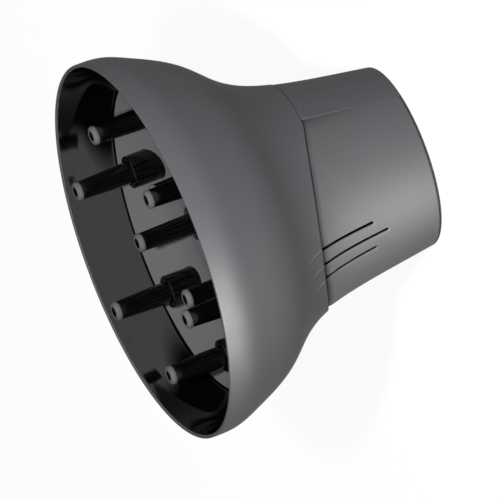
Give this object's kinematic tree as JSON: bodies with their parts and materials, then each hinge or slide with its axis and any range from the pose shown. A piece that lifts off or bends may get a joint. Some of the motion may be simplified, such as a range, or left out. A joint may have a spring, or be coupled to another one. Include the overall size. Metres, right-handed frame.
{
  "type": "hair dryer diffuser attachment",
  "caption": "Bell-shaped hair dryer diffuser with a grooved grip pad on its collar, and soft-tipped fingers standing out of a dished plate; the long fingers press in on springs.",
  "frame": {"origin": "centre of the collar's end face, on the axis; the part stands on this face", "axes": "+Z along the axis from the collar to the mouth, -Y towards the middle of the grip pad, +X completes the right-handed frame"},
  "size_m": [0.1401, 0.1401, 0.1064],
  "materials": {
    "shell_black": "satin, finely moulded",
    "liner_grey": "satin",
    "plate_grey": "satin",
    "sleeve_black": "gloss",
    "finger_black": "satin",
    "tip_grey": "soft, matte",
    "pad_black": "soft touch, satin",
    "ring_black": "matte",
    "spreader_black": "satin",
    "spring_steel": "drawn wire",
    "screw_steel": "zinc plated"
  },
  "bodies": {
    "diffuser": {"bell_shell": "shell_black", "collar": "shell_black", "grip_pad": "pad_black", "barrel_grip": "ring_black", "mouth_liner": "liner_grey", "finger_plate": "plate_grey", "air_spreader": "spreader_black", "spreader_screw": "screw_steel", "guide_sleeve_1": "sleeve_black", "finger_spring_1": "spring_steel", "guide_sleeve_2": "sleeve_black", "finger_spring_2": "spring_steel", "guide_sleeve_3": "sleeve_black", "finger_spring_3": "spring_steel", "guide_sleeve_4": "sleeve_black", "finger_spring_4": "spring_steel", "guide_sleeve_5": "sleeve_black", "finger_spring_5": "spring_steel", "guide_sleeve_6": "sleeve_black", "finger_spring_6": "spring_steel", "inner_finger_1": "finger_black", "inner_tip_1": "tip_grey", "inner_finger_2": "finger_black", "inner_tip_2": "tip_grey", "inner_finger_3": "finger_black", "inner_tip_3": "tip_grey"},
    "outer_finger_slide_1": {"outer_finger_1": "finger_black", "outer_tip_1": "tip_grey"},
    "outer_finger_slide_2": {"outer_finger_2": "finger_black", "outer_tip_2": "tip_grey"},
    "outer_finger_slide_3": {"outer_finger_3": "finger_black", "outer_tip_3": "tip_grey"},
    "outer_finger_slide_4": {"outer_finger_4": "finger_black", "outer_tip_4": "tip_grey"},
    "outer_finger_slide_5": {"outer_finger_5": "finger_black", "outer_tip_5": "tip_grey"},
    "outer_finger_slide_6": {"outer_finger_6": "finger_black", "outer_tip_6": "tip_grey"}
  },
  "joints": [
    {"name": "outer_finger_1_press", "type": "slide", "parent": "diffuser", "child": "outer_finger_slide_1", "axis": [0, 0, -1], "range_m": [0, 0.005], "stiffness_N_per_m": 300, "springref_m": -0.002, "deforming": ["finger_spring_1"]},
    {"name": "outer_finger_2_press", "type": "slide", "parent": "diffuser", "child": "outer_finger_slide_2", "axis": [0, 0, -1], "range_m": [0, 0.005], "stiffness_N_per_m": 300, "springref_m": -0.002, "deforming": ["finger_spring_2"]},
    {"name": "outer_finger_3_press", "type": "slide", "parent": "diffuser", "child": "outer_finger_slide_3", "axis": [0, 0, -1], "range_m": [0, 0.005], "stiffness_N_per_m": 300, "springref_m": -0.002, "deforming": ["finger_spring_3"]},
    {"name": "outer_finger_4_press", "type": "slide", "parent": "diffuser", "child": "outer_finger_slide_4", "axis": [0, 0, -1], "range_m": [0, 0.005], "stiffness_N_per_m": 300, "springref_m": -0.002, "deforming": ["finger_spring_4"]},
    {"name": "outer_finger_5_press", "type": "slide", "parent": "diffuser", "child": "outer_finger_slide_5", "axis": [0, 0, -1], "range_m": [0, 0.005], "stiffness_N_per_m": 300, "springref_m": -0.002, "deforming": ["finger_spring_5"]},
    {"name": "outer_finger_6_press", "type": "slide", "parent": "diffuser", "child": "outer_finger_slide_6", "axis": [0, 0, -1], "range_m": [0, 0.005], "stiffness_N_per_m": 300, "springref_m": -0.002, "deforming": ["finger_spring_6"]}
  ]
}
